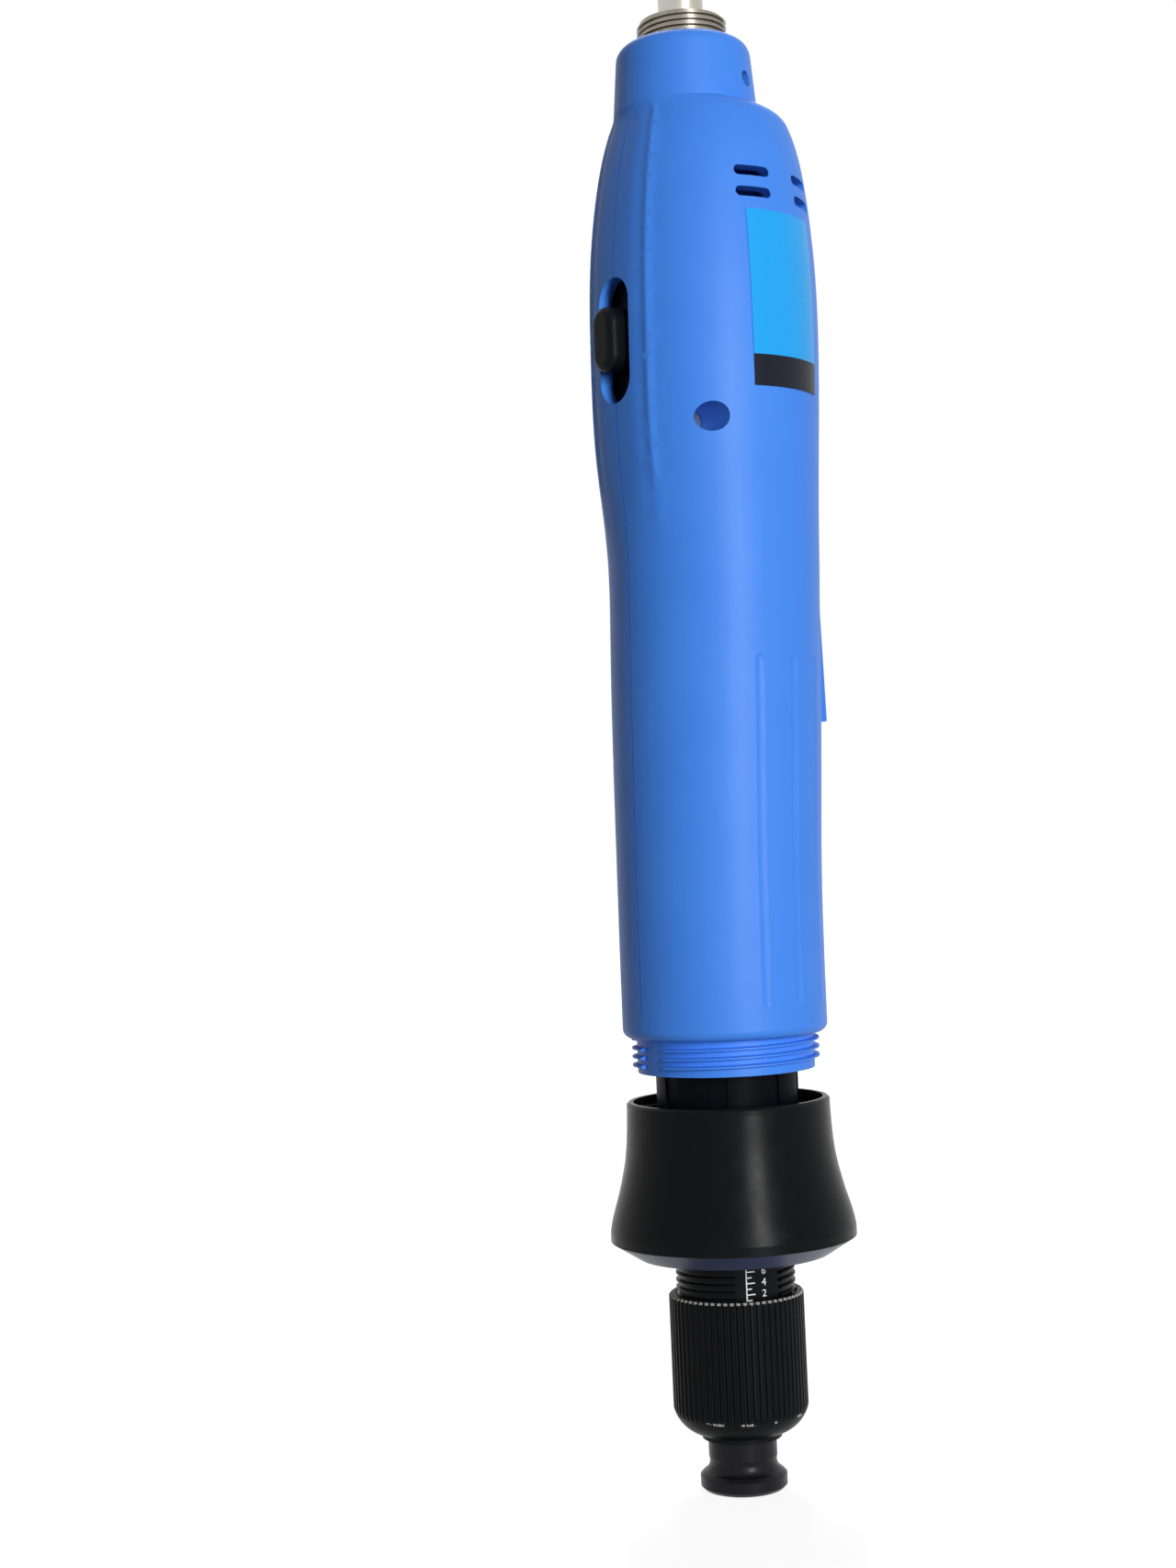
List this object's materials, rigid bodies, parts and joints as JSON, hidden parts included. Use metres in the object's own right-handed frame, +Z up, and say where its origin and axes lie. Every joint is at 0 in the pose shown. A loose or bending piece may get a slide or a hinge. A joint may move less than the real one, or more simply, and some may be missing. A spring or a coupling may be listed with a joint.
{
  "type": "electric screwdriver",
  "caption": "Straight corded electric screwdriver with a contoured two-part housing, start lever, direction slide, screw-on nose cap, torque nut on a scale tube and bit release sleeve.",
  "frame": {"origin": "mouth of the bit socket, on the tool axis", "axes": "+Z up the tool axis from the bit to the tail; -X to the direction switch, +X to the start lever; the housing parts at y = 0"},
  "size_m": [0.0444, 0.0432, 0.2658],
  "materials": {
    "blue_housing": "satin moulded nylon",
    "blue_lever": "satin moulded nylon",
    "black_anodised": "black anodised, satin",
    "black_oxide": "black oxide",
    "dark_case": "dark cast, satin",
    "black_plastic": "matt moulded",
    "nickel": "nickel plated",
    "bright_barrel": "bright plated",
    "sticker_film": "gloss film",
    "gold_contact": "plated",
    "lead_sleeve": "smooth sleeve",
    "circuit_board": "lacquered laminate",
    "capacitor_can": "sleeved can",
    "zinc_steel": "zinc plated",
    "sintered_bronze": "sintered",
    "ferrite": "fired",
    "carbon": "pressed carbon",
    "spring_steel": "drawn wire",
    "hard_steel": "ground",
    "copper": "enamelled copper",
    "grey_fibre": "pressed fibre"
  },
  "bodies": {
    "housing": {"blank_sticker": "sticker_film", "brake_relay": "black_plastic", "brush_springs": "spring_steel", "clutch_pins": "hard_steel", "clutch_plate": "hard_steel", "contact_pins": "gold_contact", "control_board": "circuit_board", "direction_switch": "black_plastic", "front_shell": "blue_housing", "gear_case": "dark_case", "housing_screw": "zinc_steel", "inlet_barrel": "bright_barrel", "inlet_collar": "nickel", "inlet_insulator": "black_plastic", "inlet_leads": "lead_sleeve", "lever_pin": "zinc_steel", "motor_brushes": "carbon", "motor_can": "zinc_steel", "motor_end_cap": "black_plastic", "motor_front_bush": "sintered_bronze", "motor_leads": "lead_sleeve", "motor_magnets": "ferrite", "motor_rear_bush": "sintered_bronze", "neck_set_screw": "zinc_steel", "rear_shell": "blue_housing", "ring_gear": "hard_steel", "scale_tube": "black_anodised", "smoothing_capacitor": "capacitor_can", "spindle_bush": "sintered_bronze", "start_switch": "black_plastic", "torque_spring": "spring_steel"},
    "start_lever": {"start_lever": "blue_lever"},
    "start_button": {"start_button": "black_plastic"},
    "direction_knob": {"direction_knob": "black_plastic", "switch_shutter": "black_plastic"},
    "cap_washer": {"cap_washer": "grey_fibre"},
    "nose_cap": {"nose_cap": "black_anodised"},
    "spring_seat": {"spring_seat": "hard_steel"},
    "torque_nut": {"torque_nut": "black_anodised"},
    "rotor": {"rotor_shaft": "hard_steel", "rotor_core": "hard_steel", "rotor_winding": "copper", "commutator": "copper", "sun_pinion": "hard_steel"},
    "first_carrier": {"first_carrier": "hard_steel", "first_planet_pins": "hard_steel", "second_sun": "hard_steel"},
    "spindle": {"output_spindle": "hard_steel", "second_planet_pins": "hard_steel", "lock_balls": "hard_steel", "sleeve_ring": "spring_steel", "sleeve_spring": "spring_steel"},
    "release_sleeve": {"release_sleeve": "black_oxide"},
    "first_planet_1": {"first_planet_1": "hard_steel"},
    "first_planet_2": {"first_planet_2": "hard_steel"},
    "first_planet_3": {"first_planet_3": "hard_steel"},
    "second_planet_1": {"second_planet_1": "hard_steel"},
    "second_planet_2": {"second_planet_2": "hard_steel"},
    "second_planet_3": {"second_planet_3": "hard_steel"}
  },
  "joints": [
    {"name": "lever_pivot", "type": "hinge", "parent": "housing", "child": "start_lever", "pos_m": [0.0182, 0, 0.1865], "axis": [0, 1, 0], "range_deg": [0, 1.4], "stiffness_Nm_per_rad": 0.3, "springref_deg": -0.57},
    {"name": "button_slide", "type": "slide", "parent": "housing", "child": "start_button", "axis": [-1, 0, 0], "range_m": [0, 0.0007]},
    {"name": "direction_slide", "type": "slide", "parent": "housing", "child": "direction_knob", "axis": [0, 0, 1], "range_m": [-0.004, 0.004]},
    {"name": "cap_slide", "type": "slide", "parent": "housing", "child": "cap_washer", "axis": [0, 0, 1], "range_m": [0, 0.011]},
    {"name": "cap_turn", "type": "hinge", "parent": "cap_washer", "child": "nose_cap", "pos_m": [0, 0, 0.054], "axis": [0, 0, 1], "range_deg": [0, 2640.5]},
    {"name": "seat_slide", "type": "slide", "parent": "housing", "child": "spring_seat", "axis": [0, 0, 1], "range_m": [-0.00175, 0.0055], "deforming": ["torque_spring"]},
    {"name": "nut_turn", "type": "hinge", "parent": "spring_seat", "child": "torque_nut", "pos_m": [0, 0, 0.0215], "axis": [0, 0, 1], "range_deg": [-504.5, 1584.5]},
    {"name": "rotor_spin", "type": "hinge", "parent": "housing", "child": "rotor", "pos_m": [0, 0, 0.11], "axis": [0, 0, 1], "continuous": true},
    {"name": "first_carrier_spin", "type": "hinge", "parent": "housing", "child": "first_carrier", "pos_m": [0, 0, 0.076], "axis": [0, 0, 1], "continuous": true},
    {"name": "spindle_spin", "type": "hinge", "parent": "housing", "child": "spindle", "pos_m": [0, 0, 0.04], "axis": [0, 0, 1], "continuous": true},
    {"name": "first_planet_1_spin", "type": "hinge", "parent": "first_carrier", "child": "first_planet_1", "pos_m": [0.006, 0, 0.08], "axis": [0, 0, 1], "continuous": true},
    {"name": "first_planet_2_spin", "type": "hinge", "parent": "first_carrier", "child": "first_planet_2", "pos_m": [-0.003, 0.0052, 0.08], "axis": [0, 0, 1], "continuous": true},
    {"name": "first_planet_3_spin", "type": "hinge", "parent": "first_carrier", "child": "first_planet_3", "pos_m": [-0.003, -0.0052, 0.08], "axis": [0, 0, 1], "continuous": true},
    {"name": "second_planet_1_spin", "type": "hinge", "parent": "spindle", "child": "second_planet_1", "pos_m": [0.006, 0, 0.072], "axis": [0, 0, 1], "continuous": true},
    {"name": "second_planet_2_spin", "type": "hinge", "parent": "spindle", "child": "second_planet_2", "pos_m": [-0.003, 0.0052, 0.072], "axis": [0, 0, 1], "continuous": true},
    {"name": "second_planet_3_spin", "type": "hinge", "parent": "spindle", "child": "second_planet_3", "pos_m": [-0.003, -0.0052, 0.072], "axis": [0, 0, 1], "continuous": true},
    {"name": "sleeve_slide", "type": "slide", "parent": "spindle", "child": "release_sleeve", "axis": [0, 0, 1], "range_m": [0, 0.0025], "stiffness_N_per_m": 300, "springref_m": -0.001, "deforming": ["sleeve_spring"]}
  ],
  "couplings": [
    {"joint": "button_slide", "follows": "lever_pivot", "m_per_rad": 0.0285},
    {"joint": "cap_turn", "follows": "cap_slide", "rad_per_m": 4188.8},
    {"joint": "nut_turn", "follows": "seat_slide", "rad_per_m": 5026.5},
    {"joint": "first_carrier_spin", "follows": "rotor_spin", "ratio": 0.25},
    {"joint": "spindle_spin", "follows": "rotor_spin", "ratio": 0.0625},
    {"joint": "first_planet_1_spin", "follows": "rotor_spin", "ratio": -0.75},
    {"joint": "first_planet_2_spin", "follows": "rotor_spin", "ratio": -0.75},
    {"joint": "first_planet_3_spin", "follows": "rotor_spin", "ratio": -0.75},
    {"joint": "second_planet_1_spin", "follows": "rotor_spin", "ratio": -0.1875},
    {"joint": "second_planet_2_spin", "follows": "rotor_spin", "ratio": -0.1875},
    {"joint": "second_planet_3_spin", "follows": "rotor_spin", "ratio": -0.1875}
  ]
}
